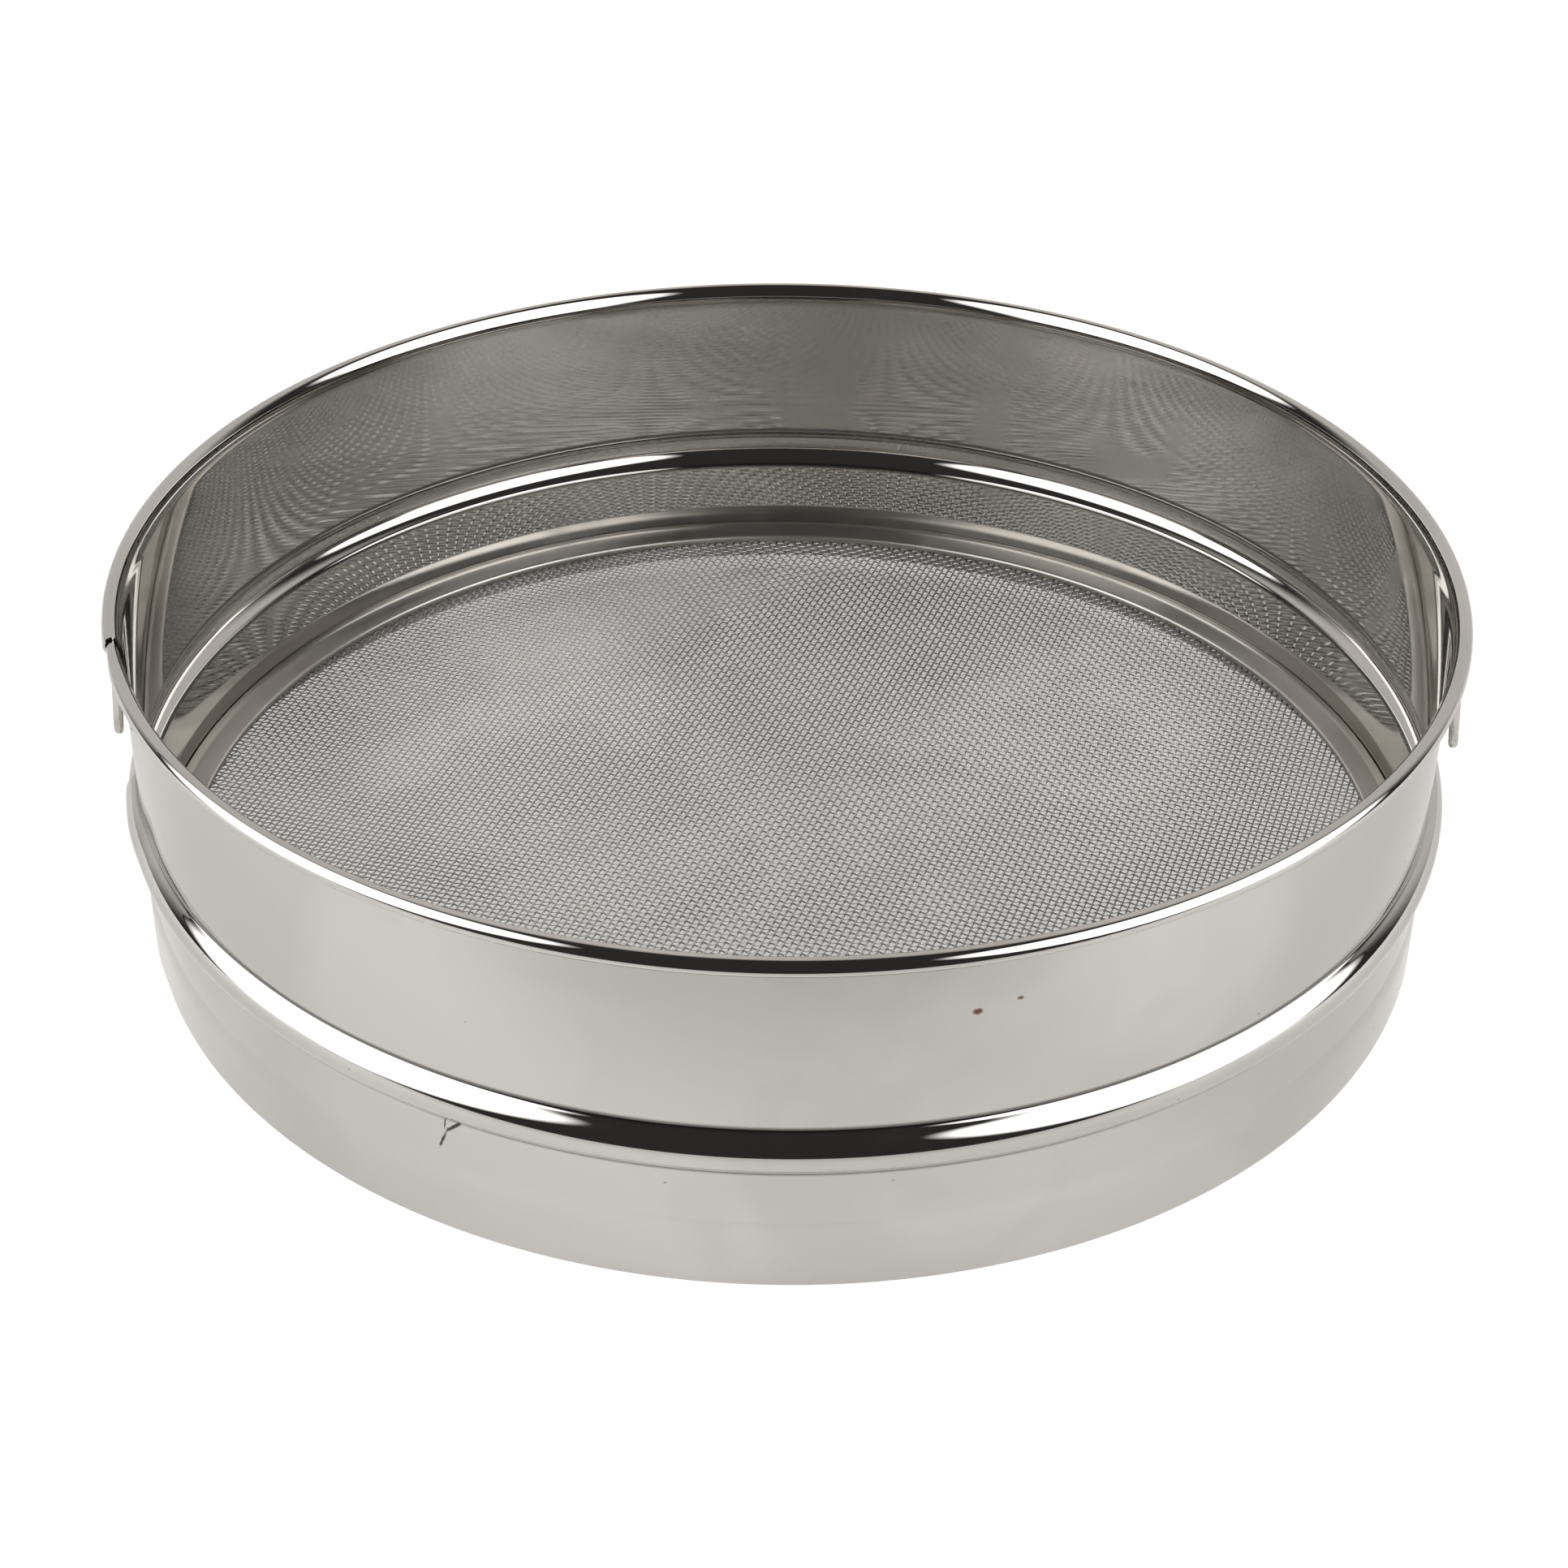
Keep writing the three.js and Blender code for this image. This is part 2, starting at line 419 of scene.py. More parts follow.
@dataclass(frozen=True)
class SteelFinish:
    """Stainless steel with rolling lines, faint stains, smudges, specks, painted shade lines along creases,
    and blemishes, some of which are painted shadow with dirt.
    """

    name: str
    light: Colour
    dark: Colour
    roughness: float
    smudge: float
    line_scale: tuple[float, float, float]
    line_depth: float
    wave_depth: float
    line_roughness: float = 0.5
    stain_scale: float = 14.0
    stain_span: Span = (0.4, 0.62)
    smudge_scale: float = 26.0
    smudge_span: Span = (0.52, 0.72)
    smudge_tint: float = 0.5
    wave_scale: float = 16.0
    speck_scale: float = 180.0
    speck_size: Span = (0.042, 0.07)
    speck_share: Span = (0.78, 0.8)
    speck_colour: Colour = (0.2, 0.17, 0.14)
    speck_tint: float = 0.5
    speck_cover: float = 0.3
    cover_roughness: float = 0.5
    # Heights, reach and colour of painted shade lines along creases.
    shaded_creases: tuple[float, ...] = ()
    crease_shade_reach: float = 0.9
    crease_shade_colour: Colour = (0.16, 0.155, 0.145)
    blemishes: tuple[Blemish, ...] = ()

    def specks(self, graph: Graph, coords: bpy.types.NodeSocket) -> bpy.types.NodeSocket:
        """Mask of the sparse specks, 1 inside them.

        Args:
            graph: Tree to write in.
            coords: Object coordinates.

        Returns:
            The mask.
        """
        cells = graph.node("ShaderNodeTexVoronoi", {"Vector": coords, "Scale": self.speck_scale})
        near = graph.span(cells.outputs["Distance"], self.speck_size, FALLING)
        sparse = graph.span(cells.outputs["Color"], self.speck_share)
        return graph.math("MULTIPLY", near, sparse)

    def build(self) -> bpy.types.Material:
        """Material of this finish.

        Returns:
            The material.
        """
        material, graph = new_material(self.name)
        coords = graph.coords()
        stretched = graph.node("ShaderNodeMapping", {"Vector": coords, "Scale": self.line_scale})
        lines = graph.noise(stretched.outputs["Vector"], 1.0, detail=3.0)
        stain = graph.noise(coords, self.stain_scale, detail=4.0, distortion=0.6)
        blotches = graph.noise(coords, self.smudge_scale, detail=5.0, distortion=1.2)
        smudge = graph.span(blotches, self.smudge_span)
        wave = graph.noise(coords, self.wave_scale, detail=1.0)
        speck = self.specks(graph, coords)

        colour = graph.mix(graph.span(stain, self.stain_span), self.light, self.dark)
        colour = graph.mix(graph.math("MULTIPLY", smudge, self.smudge_tint), colour, self.dark)
        colour = graph.mix(graph.math("MULTIPLY", speck, self.speck_tint), colour, self.speck_colour)
        covered = graph.math("MULTIPLY", speck, self.speck_cover)
        level = graph.part(coords, "Z")
        # Darker lines at the given heights: painted shade along creases.
        for crease in self.shaded_creases:
            off = graph.math("ABSOLUTE", graph.math("SUBTRACT", level, crease * MM))
            shade = graph.span(off, (0.0, self.crease_shade_reach * MM), FALLING)
            colour = graph.mix(shade, colour, self.crease_shade_colour)
        for blemish in self.blemishes:
            mask = blemish.mask(graph, coords)
            colour = graph.mix(mask, colour, blemish.colour)
            covered = graph.math("MAXIMUM", covered, mask)

        rough = graph.math("MULTIPLY_ADD", smudge, self.smudge, self.roughness)
        rough = graph.math("MULTIPLY_ADD", lines, self.roughness * self.line_roughness, rough)
        rough = graph.math("MULTIPLY_ADD", covered, self.cover_roughness, rough, clamp=True)
        metal = graph.math("SUBTRACT", 1.0, covered)
        height = graph.math("MULTIPLY", wave, self.wave_depth)
        height = graph.math("MULTIPLY_ADD", lines, self.line_depth, height)
        bump = graph.node("ShaderNodeBump", {"Height": height, "Strength": 1.0, "Distance": MM})
        shader = graph.node(
            "ShaderNodeBsdfPrincipled",
            {"Base Color": colour, "Metallic": metal, "Roughness": rough, "Normal": bump.outputs["Normal"]},
        )
        graph.node("ShaderNodeOutputMaterial", {"Surface": shader.outputs["BSDF"]})
        return material


POLISHED_SHEET = SteelFinish(
    name="polished_sheet",
    light=(0.64, 0.62, 0.595),
    dark=(0.58, 0.565, 0.54),
    roughness=0.03,
    smudge=0.06,
    line_scale=(6.0, 6.0, 1400.0),
    line_depth=0.0003,
    wave_depth=0.06,
    # Painted shade along the fillets at the bead's foot and head.
    shaded_creases=(28.3, 39.1),
    blemishes=(
        Blemish(14.3, 146.3, 64.4, 1.4, 1.1, 20.0, (0.13, 0.05, 0.02)),
        Blemish(17.5, 146.3, 66.0, 0.8, 0.6, 0.0, (0.18, 0.1, 0.06)),
        # Ragged near-black marks round a torn sliver at the bead's foot: painted shadow of the sliver, with
        # dirt.
        Blemish(-26.95, 146.3, 22.65, 0.45, 3.4, 22.0, SLIVER_SHADOW_AND_DIRT),
        Blemish(-25.8, 146.3, 26.8, 0.5, 3.9, 47.0, SLIVER_SHADOW_AND_DIRT),
        Blemish(-26.15, 146.3, 28.75, 0.4, 1.6, 92.0, SLIVER_SHADOW_AND_DIRT),
        Blemish(-26.7, 146.3, 26.95, 0.22, 2.6, 8.0, SLIVER_SHADOW_AND_DIRT),
        Blemish(-25.4, 146.3, 29.35, 0.32, 1.2, -38.0, SLIVER_SHADOW_AND_DIRT),
    ),
)
RING_SHEET = SteelFinish(
    name="ring_sheet",
    light=(0.52, 0.5, 0.47),
    dark=(0.44, 0.42, 0.39),
    roughness=0.26,
    smudge=0.1,
    line_scale=(8.0, 8.0, 1800.0),
    line_depth=0.0008,
    wave_depth=0.1,
    stain_scale=22.0,
)
DRAWN_WIRE = SteelFinish(
    name="drawn_wire",
    light=(0.6, 0.585, 0.56),
    dark=(0.5, 0.485, 0.46),
    roughness=0.16,
    smudge=0.12,
    line_scale=(900.0, 900.0, 30.0),
    line_depth=0.0008,
    wave_depth=0.02,
    stain_scale=90.0,
    smudge_scale=140.0,
)
WOVEN_WIRE = SteelFinish(
    name="woven_wire",
    light=(0.57, 0.565, 0.55),
    dark=(0.47, 0.465, 0.45),
    roughness=0.18,
    smudge=0.1,
    line_scale=(700.0, 700.0, 700.0),
    line_depth=0.0012,
    wave_depth=0.0,
    stain_scale=30.0,
    smudge_scale=60.0,
)


# Pieces of the sieve


@dataclass
class Hoop:
    """Rolled strip of sheet: skirt, raised bead, wall and curled rim, with its lapped ends."""

    rim_diameter: float = 300.0
    overall_height: float = 81.0
    sheet: float = 0.5
    curl_width: float = 4.2
    curl_height: float = 4.2
    flare_rise: float = 5.8
    curl_lip_gap: float = 0.5
    bead_middle: float = 33.5
    bead_height: float = 11.4
    bead_proud: float = 3.2
    bead_fillet: float = 1.4
    step_top: float = 15.85
    step_run: float = 5.0
    skirt_widening: float = 0.5
    seam_azimuth: float = math.radians(-75.0)
    seam_lap: float = 12.0
    lap_clearance: float = 0.03
    rim_tuck: float = 0.12
    tuck_length: float = 18.0
    tuck_share: float = 0.25
    support: float = 0.3
    turn_steps: int = 292
    skirt_steps: int = 5
    step_steps: int = 12
    low_wall_steps: int = 4
    fillet_steps: int = 6
    crown_steps: int = 28
    high_wall_steps: int = 10
    flare_steps: int = 18
    roll_steps: int = 36

    @property
    def wall_outer(self) -> float:
        """Outer radius of the wall."""
        return self.rim_diameter / 2 - self.curl_width + self.sheet

    @property
    def wall_middle(self) -> float:
        """Radius of the middle of the wall's sheet."""
        return self.wall_outer - self.sheet / 2

    @property
    def skirt_inner(self) -> float:
        """Inner radius of the skirt."""
        return self.wall_outer - self.sheet + self.skirt_widening

    @property
    def flare_bottom(self) -> float:
        """Height at which the wall starts to flare into the rim."""
        return self.overall_height - self.flare_rise

    def step_line(self) -> Line:
        """Slight step from the skirt up to the wall, sharpest at its top.

        Returns:
            The points from the bottom up.
        """
        line = []
        for i in range(self.step_steps + 1):
            drop = 1.0 - i / self.step_steps
            widening = self.skirt_widening * drop * (2.0 - drop)
            line.append(Vector((self.wall_middle + widening, self.step_top - self.step_run * drop)))
        return line

    def bead_line(self) -> Line:
        """Raised bead with a fillet on each side of its crown.

        Returns:
            The points from the bottom up.
        """
        half = self.bead_height / 2
        flank = 2 * math.atan(self.bead_proud / half)
        crown = half / math.sin(flank) - self.bead_fillet
        side = self.wall_middle + self.bead_fillet
        foot = Vector((side, self.bead_middle - half))
        crest = Vector((self.wall_middle + self.bead_proud - crown, self.bead_middle))
        head = Vector((side, self.bead_middle + half))
        return [
            *arc(foot, self.bead_fillet, math.pi, math.pi - flank, self.fillet_steps)[:-1],
            *arc(crest, crown, -flank, flank, self.crown_steps),
            *arc(head, self.bead_fillet, math.pi + flank, math.pi, self.fillet_steps)[1:],
        ]

    def curl_line(self) -> Line:
        """Rim: the wall flares up to the top, then a round turn goes outwards and back under.

        Returns:
            The points from the wall to the lip.
        """
        across = (self.curl_width - self.sheet) / 2
        up = (self.curl_height - self.sheet) / 2
        foot = Vector((self.wall_middle + across, self.flare_bottom))
        centre = Vector((foot.x, self.overall_height - self.curl_height / 2))
        quarter = math.pi / 2
        sweep = FULL_TURN - math.acos(1 - (self.sheet + self.curl_lip_gap) / across)
        flare = [quarter * i / self.flare_steps for i in range(self.flare_steps)]
        roll = [quarter + (sweep - quarter) * i / self.roll_steps for i in range(self.roll_steps + 1)]
        tall = self.flare_rise - self.sheet / 2
        return [
            *(foot + Vector((-across * math.cos(t), tall * math.sin(t))) for t in flare),
            *(centre + Vector((-across * math.cos(t), up * math.sin(t))) for t in roll),
        ]

    def build(self, finish: SteelFinish) -> bpy.types.Object:
        """Spin the strip with its ends lapped, and dress it.

        The strip's first end lies outside the wall and inside the rim's last end, which is its sleeve.

        Args:
            finish: Finish of the sheet.

        Returns:
            The piece.
        """
        step, bead, curl = self.step_line(), self.bead_line(), self.curl_line()
        wall, gap = self.wall_middle, self.support
        line = [
            *upright(wall + self.skirt_widening, 0.0, step[0].y - gap, self.skirt_steps),
            *step,
            *upright(wall, step[-1].y + gap, bead[0].y - gap, self.low_wall_steps),
            *bead,
            *upright(wall, bead[-1].y + gap, curl[0].y - gap, self.high_wall_steps),
            *curl,
        ]
        normals = side_normals(line)
        outline = sheet_outline(line, normals, self.sheet)
        sides = [*normals, *reversed(normals)]
        order = [*range(len(line)), *reversed(range(len(line)))]
        lap = self.seam_lap / self.wall_outer
        start = self.seam_azimuth - lap
        bm = spun(outline, start, FULL_TURN + lap, self.turn_steps)
        fade = self.tuck_length / self.wall_outer
        stride = (FULL_TURN + lap) / self.turn_steps
        first_curl = len(line) - len(curl)
        for i, vert in enumerate(bm.verts):
            ring, place = divmod(i, len(outline))
            share = 1.0 - smooth_step((ring * stride - lap) / fade)
            if share <= 0.0:
                continue
            curled = smooth_step((order[place] - first_curl) / (len(curl) * self.tuck_share))
            amount = share * (self.sheet + self.lap_clearance + curled * self.rim_tuck)
            side = sides[place] * amount
            vert.co += place_at(start + ring * stride, side.x, side.y)
        return make_piece("rolled_hoop", bm, finish.build(), ["hoop"])


@dataclass
class BindingRing:
    """Folded ring in the skirt that grips the edge of the screen."""

    outer: float
    screen_top: float
    screen_bottom: float
    sheet: float = 0.5
    width: float = 7.7
    rise: float = 3.4
    top_width: float = 2.7
    top_dip: float = 0.8
    nose_rise: float = 1.25
    grip_width: float = 3.0
    gap: float = 0.3
    bends: tuple[float, ...] = (0.6, 0.4, 0.8, 0.6, 0.6)
    bend_steps: int = 6
    turn_steps: int = 256

    def line(self) -> Line:
        """Middle line of the sheet.

        Returns:
            The points from the leaf under the screen to the leaf over it.
        """
        half = self.sheet / 2
        under = self.screen_bottom - self.gap - half
        over = self.screen_top + self.gap + half
        outer = self.outer - half
        top = self.screen_top + self.rise - half
        nose = self.outer - self.width + half
        corners = [
            Vector((self.outer - self.width + self.grip_width, under)),
            Vector((outer, under)),
            Vector((outer, top - self.top_dip)),
            Vector((self.outer - self.top_width, top)),
            Vector((nose, over + self.nose_rise)),
            Vector((nose, over)),
            Vector((nose + self.grip_width, over)),
        ]
        return rounded(corners, self.bends, self.bend_steps)

    def build(self, finish: SteelFinish) -> bpy.types.Object:
        """Spin the folded sheet and dress it.

        Args:
            finish: Finish of the sheet.

        Returns:
            The piece.
        """
        line = self.line()
        outline = sheet_outline(line, side_normals(line), self.sheet)
        bm = spun(outline, 0.0, FULL_TURN, self.turn_steps)
        return make_piece("folded_ring", bm, finish.build(), ["binding_ring"])


@dataclass
class WovenScreen:
    """Flat disc of plain square weave, its wires bent over and under each other."""

    level: float = 7.6
    wire: float = 0.42
    pitch: float = 1.584
    reach: float = 143.5
    angle: float = math.radians(72.0)
    wire_sides: int = 6
    bends_per_pitch: int = 2
    band_wires: int = 38
    wander: float = 0.04
    crease: float = 70.0
    seed: int = 12

    @property
    def top(self) -> float:
        """Highest point of the weave."""
        return self.level + self.wire

    @property
    def bottom(self) -> float:
        """Lowest point of the weave."""
        return self.level - self.wire

    def wire_mesh(self, run: WireRun, number: int, shift: float) -> bmesh.types.BMesh:
        """One wire of a run, waved to pass the wires that cross it.

        Args:
            run: Run that the wire belongs to.
            number: Number of the wire, counted from the middle of the screen.
            shift: Sideways wander of this wire.

        Returns:
            The wire's mesh.
        """
        own = self.angle if run is WireRun.WARP else self.angle + math.pi / 2
        along = Vector((math.cos(own), math.sin(own), 0))
        across = Vector((-along.y, along.x, 0))
        base = across * (number * self.pitch + shift)
        stride = self.pitch / self.bends_per_pitch
        count = int(math.sqrt(self.reach**2 - base.length_squared) / stride)
        wave = math.pi / self.pitch
        lift = run.value * (-1) ** number * self.wire / 2
        radius, depth = self.wire / 2, 2.0
        bm = bmesh.new()
        bmesh.ops.create_cone(
            bm, cap_ends=True, segments=self.wire_sides, radius1=radius, radius2=radius, depth=depth,
        )
        rails = [e for e in bm.edges if e.calc_length() > depth / 2]
        bmesh.ops.subdivide_edges(bm, edges=rails, cuts=2 * count - 1)
        for vert in bm.verts:
            x, y, z = vert.co
            distance = z * count * stride
            tilt = math.atan(-lift * wave * math.sin(wave * distance))
            point = base + across * x + along * (distance - math.sin(tilt) * y)
            point.z = self.level + lift * math.cos(wave * distance) + math.cos(tilt) * y
            vert.co = point * MM
        return bm

    def build(self, finish: SteelFinish) -> list[bpy.types.Object]:
        """Weave both runs, in bands, and dress them.

        Args:
            finish: Finish of the wire.

        Returns:
            The bands of wires.
        """
        material = finish.build()
        draw = random.Random(self.seed)
        most = int(self.reach / self.pitch)
        scratch = bpy.data.meshes.new("one_wire")
        pieces = []
        for run in WireRun:
            for band, first in enumerate(range(-most, most + 1, self.band_wires), start=1):
                bm = bmesh.new()
                for number in range(first, min(first + self.band_wires, most + 1)):
                    wire = self.wire_mesh(run, number, draw.uniform(-self.wander, self.wander))
                    wire.to_mesh(scratch)
                    wire.free()
                    bm.from_mesh(scratch)
                name = f"{run.name.lower()}_wires_{band}"
                pieces.append(make_piece(name, bm, material, ["screen"], crease=self.crease))
        bpy.data.meshes.remove(scratch)
        return pieces


@dataclass
class HangingLoop:
    """U of wire, its flattened ends welded to the wall under the rim."""

    side: Side
    wall_outer: float
    top: float
    wire: float = 2.1
    width: float = 20.0
    length: float = 20.0
    lean: float = math.radians(4.2)
    azimuth: float = math.radians(77.3)
    gap: float = 0.3
    weld_height: float = 5.0
    weld_flatness: float = 0.3
    wire_sides: int = 16
    leg_steps: int = 5
    bend_steps: int = 32

    def build(self, finish: SteelFinish) -> bpy.types.Object:
        """Extrude the legs, spin the bend between them, set the loop in place and dress it.

        Args:
            finish: Finish of the wire.

        Returns:
            The piece.
        """
        bm = bmesh.new()
        radius = (self.width - self.wire) / 2
        bend_level = radius + self.wire / 2 - self.length
        bmesh.ops.create_circle(bm, cap_ends=True, segments=self.wire_sides, radius=self.wire / 2)
        bmesh.ops.translate(bm, verts=bm.verts[:], vec=(-radius, 0, 0))
        edges = bm.edges[:]
        for _ in range(self.leg_steps):
            edges = self.extend(bm, edges, bend_level / self.leg_steps)
        made = bmesh.ops.spin(
            bm, geom=edges, cent=(0, 0, bend_level), axis=(0, -1, 0), dvec=(0, 0, 0),
            angle=math.pi, steps=self.bend_steps,
        )
        edges = [e for e in made["geom_last"] if isinstance(e, bmesh.types.BMEdge)]
        for _ in range(self.leg_steps):
            edges = self.extend(bm, edges, -bend_level / self.leg_steps)
        bmesh.ops.edgeloop_fill(bm, edges=edges)
        for vert in bm.verts:
            flat = self.weld_flatness * smooth_step(1.0 + vert.co.z / self.weld_height)
            leg = math.copysign(radius, vert.co.x)
            vert.co.x = leg + (vert.co.x - leg) * (1.0 + flat)
            vert.co.y = (vert.co.y - self.wire / 2) * (1.0 - flat) + self.wire / 2
        seat = Vector((0, -(self.wall_outer + self.gap + self.wire / 2), self.top))
        turn = Matrix.Rotation(self.side.value * self.azimuth, 4, "Z")
        matrix = Matrix.Scale(MM, 4) @ turn @ Matrix.Translation(seat) @ Matrix.Rotation(-self.lean, 4, "X")
        bmesh.ops.transform(bm, matrix=matrix, verts=bm.verts[:])
        name = f"hanging_loop_wire_{self.side.name.lower()}"
        node = f"hanging_loop_{self.side.name.lower()}"
        return make_piece(name, bm, finish.build(), [node])

    @staticmethod
    def extend(bm: bmesh.types.BMesh, edges: list[bmesh.types.BMEdge],
               rise: float) -> list[bmesh.types.BMEdge]:
        """Extrude a ring of edges straight up or down.

        Args:
            bm: Mesh that holds the ring.
            edges: Edges of the ring.
            rise: Distance upwards.

        Returns:
            The edges of the new ring.
        """
        made = bmesh.ops.extrude_edge_only(bm, edges=edges)["geom"]
        verts = [v for v in made if isinstance(v, bmesh.types.BMVert)]
        bmesh.ops.translate(bm, verts=verts, vec=(0, 0, rise))
        return [e for e in made if isinstance(e, bmesh.types.BMEdge) and all(v in verts for v in e.verts)]


# Studio and camera


@dataclass(frozen=True)
class Softbox:
    """Large soft lamp: its direction and distance from the sieve, its sizes and its brightness."""

    name: str
    azimuth: float
    elevation: float
    distance: float
    width: float
    tall: float
    radiance: float
    soft_edge: float = 0.25
    sides: int = 48

    def glow(self) -> bpy.types.Material:
        """White glow that fades at the edge of the lamp.

        Returns:
            The material.
        """
        material, graph = new_material(self.name)
        reach = graph.length(graph.coords())
        strength = graph.span(reach, (1.0 - self.soft_edge, 1.0), (self.radiance, 0.0))
        emission = graph.node("ShaderNodeEmission", {"Strength": strength})
        graph.node("ShaderNodeOutputMaterial", {"Surface": emission.outputs[0]})
        return material

    def build(self) -> bpy.types.Object:
        """Oval card that faces the middle of the sieve.

        Returns:
            The card.
        """
        bm = bmesh.new()
        bmesh.ops.create_circle(bm, cap_ends=True, segments=self.sides, radius=1.0)
        card = mesh_object(self.name, bm, self.glow())
        azimuth, elevation = math.radians(self.azimuth), math.radians(self.elevation)
        flat = self.distance * math.cos(elevation)
        card.location = place_at(azimuth, flat, self.distance * math.sin(elevation))
        card.rotation_euler = card.location.to_track_quat("Z", "Y").to_euler()
        card.scale = (self.width * MM / 2, self.tall * MM / 2, 1.0)
        card.visible_camera = False
        return card


@dataclass
class Studio:
    """Pale floor, the table that the steel mirrors, two softboxes and the room round them."""

    table_front: float = 252.0
    table_reach: float = 900.0
    table_height: float = -0.05
    table_pale_from: float = 162.0
    table_light: Colour = (0.88, 0.875, 0.865)
    table_dark: Colour = (0.62, 0.615, 0.605)
    # Darker, warmer tint of the table below the screen: painted shade under the hoop.
    table_shade_below_screen: Colour = (0.85, 0.815, 0.745)
    table_fill: float = 0.05
    floor_size: float = 12000.0
    floor_height: float = -0.1
    floor_light: Colour = (0.82, 0.815, 0.805)
    floor_dark: Colour = (0.8, 0.795, 0.785)
    floor_mottle: float = 3.0
    floor_span: Span = (0.3, 0.7)
    floor_fill: float = 0.45
    # Glow of the floor below the screen, lower than floor_fill: painted shade under the sieve, lighter
    # towards its sides.
    shaded_inner_fill: float = 0.25
    shaded_inner_side_fill: float = 0.18
    inner_fade: float = 6.0
    inner_radius: float = 143.0
    white_from: float = 240.0
    white_by: float = 420.0
    room_dark: float = 0.035
    room_light: float = 0.68
    room_span: Span = (0.3, 0.65)
    room_colour: Colour = (1.0, 0.965, 0.93)
    room_lift: float = math.radians(15.0)
    softboxes: tuple[Softbox, ...] = (
        Softbox("softbox_left", -70.0, 28.0, 900.0, 1240.0, 1260.0, 2.85),
        Softbox("softbox_right", 62.0, 27.0, 900.0, 1320.0, 1200.0, 2.85),
    )

    @property
    def inner_edge(self) -> Span:
        """Distances in metres between which the ground below the screen ends."""
        return (self.inner_radius - self.inner_fade) * MM, self.inner_radius * MM

    def floor_finish(self) -> bpy.types.Material:
        """Pale matt finish of the floor, plain white to the camera far from the sieve, with less glow below
        the screen as painted shade under the sieve, lighter towards its sides.

        Returns:
            The material.
        """
        material, graph = new_material("pale_floor")
        coords = graph.coords()
        mottle = graph.span(graph.noise(coords, self.floor_mottle, detail=2.0), self.floor_span)
        tint = graph.mix(mottle, self.floor_dark, self.floor_light)
        distance = graph.length(coords)
        # Less glow below the screen than round it, least in the middle: painted shade under the sieve.
        across = graph.math("ABSOLUTE", graph.part(coords, "X"))
        fills = (self.shaded_inner_fill, self.shaded_inner_fill + self.shaded_inner_side_fill)
        inner = graph.span(across, (0.0, self.inner_radius * MM), fills)
        outside = graph.span(distance, self.inner_edge)
        near = graph.node("ShaderNodeMix", {0: outside, 2: inner, 3: self.floor_fill}).outputs[0]
        far = graph.span(distance, (self.white_from * MM, self.white_by * MM))
        path = graph.node("ShaderNodeLightPath")
        seen = graph.math("MAXIMUM", path.outputs["Is Camera Ray"], path.outputs["Is Transmission Ray"])
        graph.matt(tint, graph.math("MULTIPLY", seen, graph.math("MAXIMUM", near, far)))
        return material

    def table_finish(self) -> bpy.types.Material:
        """Matt finish of the mirrored table, darker towards its front edge, and darker and warmer below the
        screen as painted shade under the hoop.

        Returns:
            The material.
        """
        material, graph = new_material("mirrored_table")
        coords = graph.coords()
        lit = graph.span(graph.part(coords, "Y"), (-self.table_front * MM, -self.table_pale_from * MM))
        tint = graph.mix(lit, self.table_dark, self.table_light)
        # Painted shade under the hoop: the tint below the screen.
        below = graph.span(graph.length(coords), self.inner_edge, FALLING)
        graph.matt(graph.mix(below, tint, self.table_shade_below_screen), self.table_fill)
        return material

    @staticmethod
    def surface(name: str, front: float, reach: float, height: float,
                material: bpy.types.Material) -> bpy.types.Object:
        """Flat stage surface.

        Args:
            name: Name of the surface.
            front: Distance of its front edge before the sieve's axis.
            reach: Distance of its other edges from the axis.
            height: Height of the surface.
            material: Its finish.

        Returns:
            The surface.
        """
        bm = bmesh.new()
        bmesh.ops.create_grid(bm, x_segments=1, y_segments=1, size=1.0)
        bmesh.ops.scale(bm, verts=bm.verts[:], vec=(reach * MM, (reach + front) / 2 * MM, 1.0))
        bmesh.ops.translate(bm, verts=bm.verts[:], vec=(0, (reach - front) / 2 * MM, height * MM))
        obj = mesh_object(name, bm, material)
        return obj

    def room(self) -> None:
        """Room light: a bright backdrop behind, dark overhead and in front, plain white to the camera."""
        world = bpy.data.worlds.new("room")
        world.use_nodes = True
        bpy.context.scene.world = world
        graph = Graph(world.node_tree)
        direction = graph.node("ShaderNodeTexCoord").outputs["Generated"]
        behind = (0.0, math.cos(self.room_lift), math.sin(self.room_lift))
        facing = graph.node("ShaderNodeVectorMath", {0: direction, 1: behind}, operation="DOT_PRODUCT")
        level = graph.span(facing.outputs["Value"], self.room_span, (self.room_dark, self.room_light))
        camera = graph.node("ShaderNodeLightPath").outputs["Is Camera Ray"]
        strength = graph.math("MAXIMUM", level, camera)
        colour = graph.mix(camera, self.room_colour, WHITE)
        glow = graph.node("ShaderNodeBackground", {"Color": colour, "Strength": strength})
        graph.node("ShaderNodeOutputWorld", {"Surface": glow.outputs[0]})

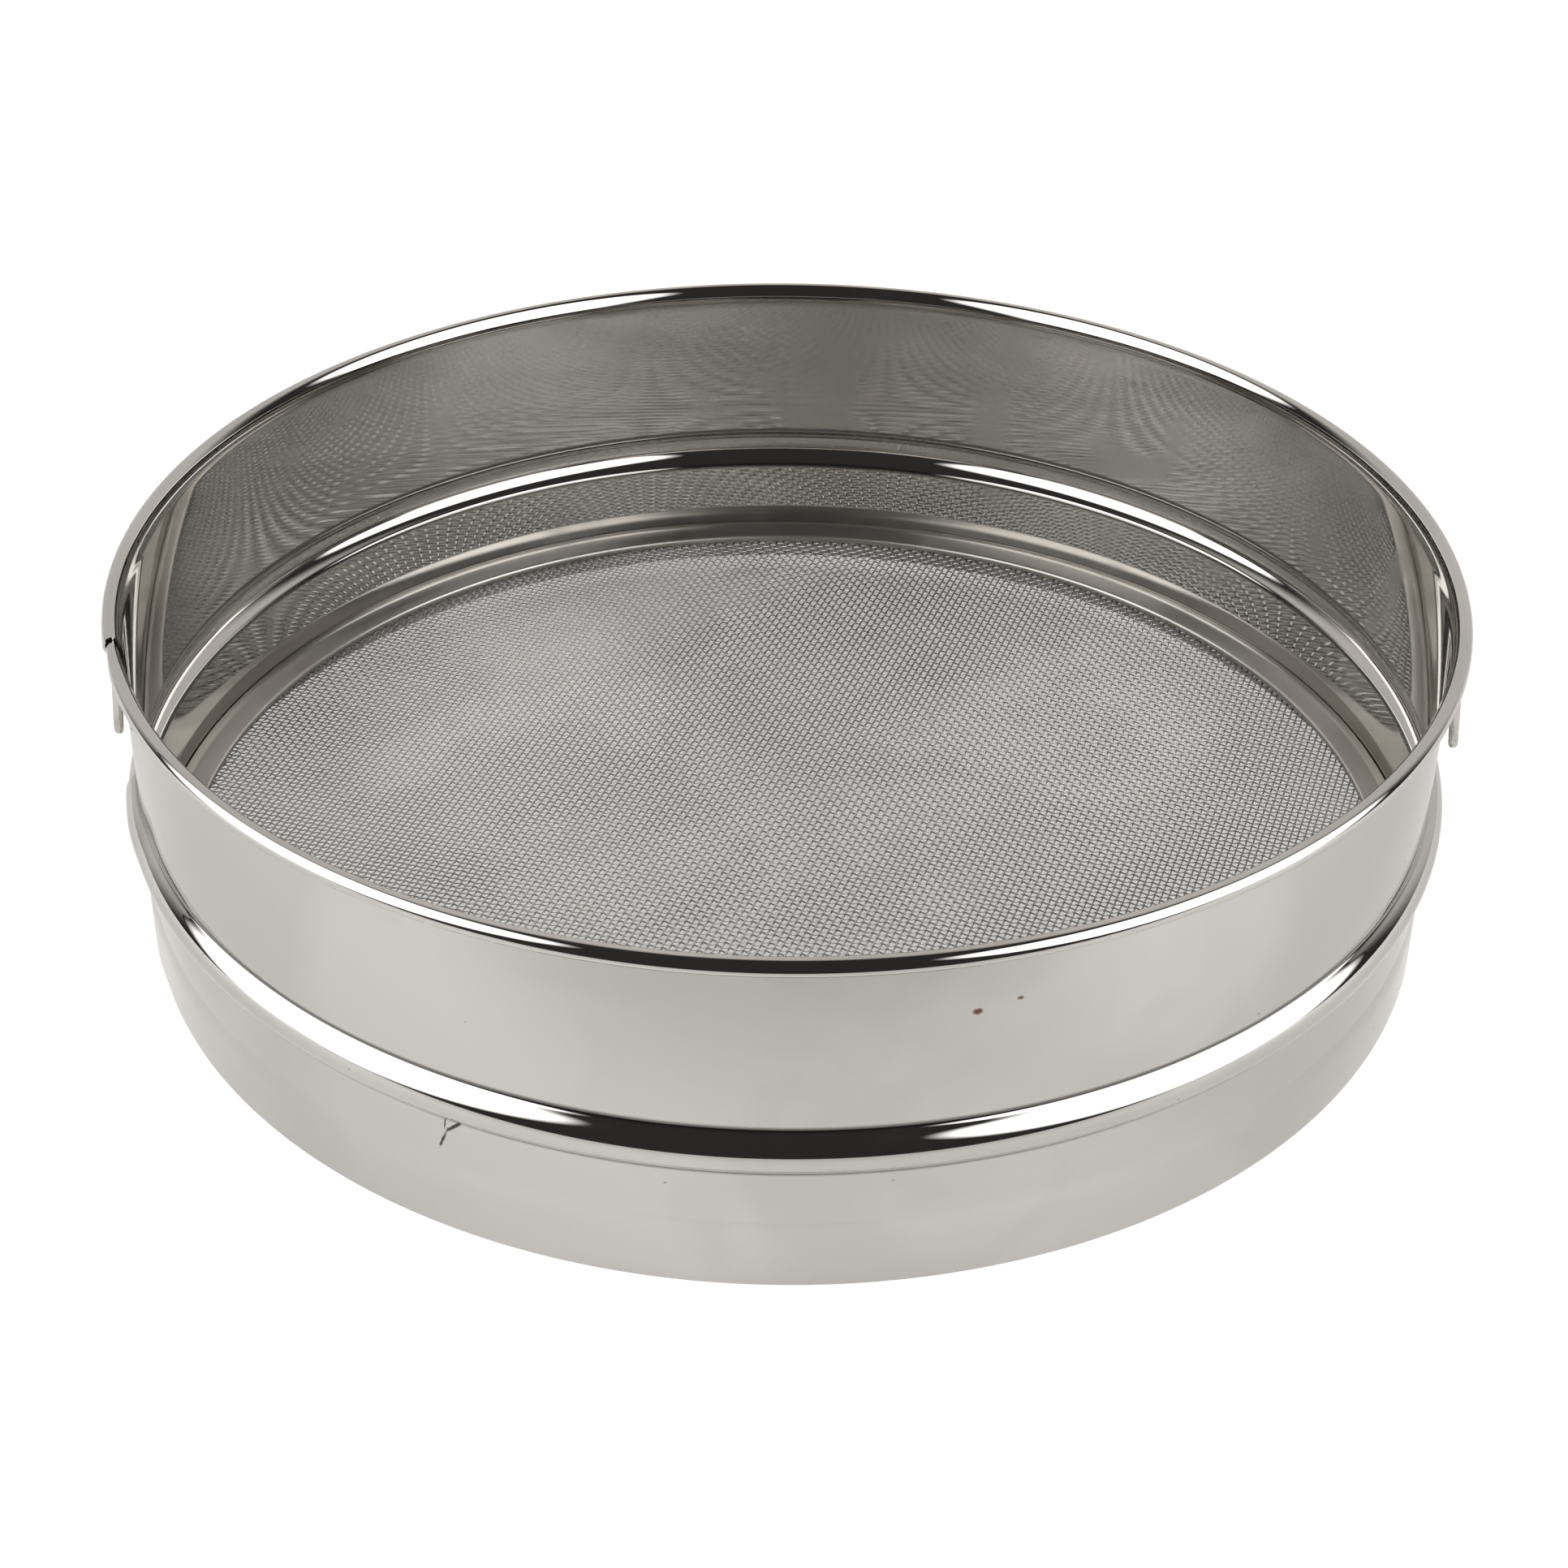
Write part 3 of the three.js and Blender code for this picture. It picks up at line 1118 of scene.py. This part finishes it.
    def build(self) -> None:
        """Set up the floor, the mirrored table, the lamps and the room."""
        size = self.floor_size
        floor = self.surface("floor", size, size, self.floor_height, self.floor_finish())
        floor.visible_glossy = False
        table = self.surface(
            "table", self.table_front, self.table_reach, self.table_height, self.table_finish(),
        )
        table.visible_camera = False
        table.visible_diffuse = False
        table.visible_shadow = False
        for softbox in self.softboxes:
            softbox.build()
        self.room()
        bpy.context.scene.view_settings.view_transform = "Standard"


@dataclass(frozen=True)
class PhotoCamera:
    """Camera at the photograph's place, aim and lens."""

    target_height: float = 36.0
    distance: float = 665.4
    elevation: float = math.radians(32.5)
    pitch: float = math.radians(-1.144)
    yaw: float = math.radians(-0.028)
    roll: float = math.radians(0.6)
    focal_pixels: float = 3545.3
    image_pixels: float = 1932.0
    sensor: float = 36.0

    def build(self) -> bpy.types.Object:
        """Make the scene's camera.

        Returns:
            The camera.
        """
        toward = Vector((0, -math.cos(self.elevation), math.sin(self.elevation)))
        right = Vector((1, 0, 0))
        up = right.cross(-toward)
        look = (-toward + math.tan(self.yaw) * right + math.tan(self.pitch) * up).normalized()
        level = (right - right.dot(look) * look).normalized()
        raised = level.cross(look)
        turned = math.cos(self.roll) * level + math.sin(self.roll) * raised
        head = -math.sin(self.roll) * level + math.cos(self.roll) * raised
        data = bpy.data.cameras.new("photo_camera")
        data.sensor_width = self.sensor
        data.lens = self.focal_pixels / self.image_pixels * self.sensor
        camera = bpy.data.objects.new("photo_camera", data)
        eye = (Vector((0, 0, self.target_height)) + self.distance * toward) * MM
        camera.matrix_world = Matrix.Translation(eye) @ Matrix((turned, head, -look)).transposed().to_4x4()
        bpy.context.scene.collection.objects.link(camera)
        bpy.context.scene.camera = camera
        return camera


def main() -> None:
    """Build the sieve's pieces in order, then its studio and camera."""
    logging.basicConfig(level=logging.INFO, format="%(name)s %(message)s")
    PhotoCamera().build()
    hoop = Hoop()
    screen = WovenScreen()
    ring_gap, loop_gap = 0.1, 0.3
    ring = BindingRing(hoop.skirt_inner - ring_gap, screen.top, screen.bottom)
    hoop.build(POLISHED_SHEET)
    ring.build(RING_SHEET)
    screen.build(WOVEN_WIRE)
    for side in Side:
        HangingLoop(side, hoop.wall_outer, hoop.flare_bottom - loop_gap).build(DRAWN_WIRE)
    Studio().build()


if __name__ == "__main__":
    main()
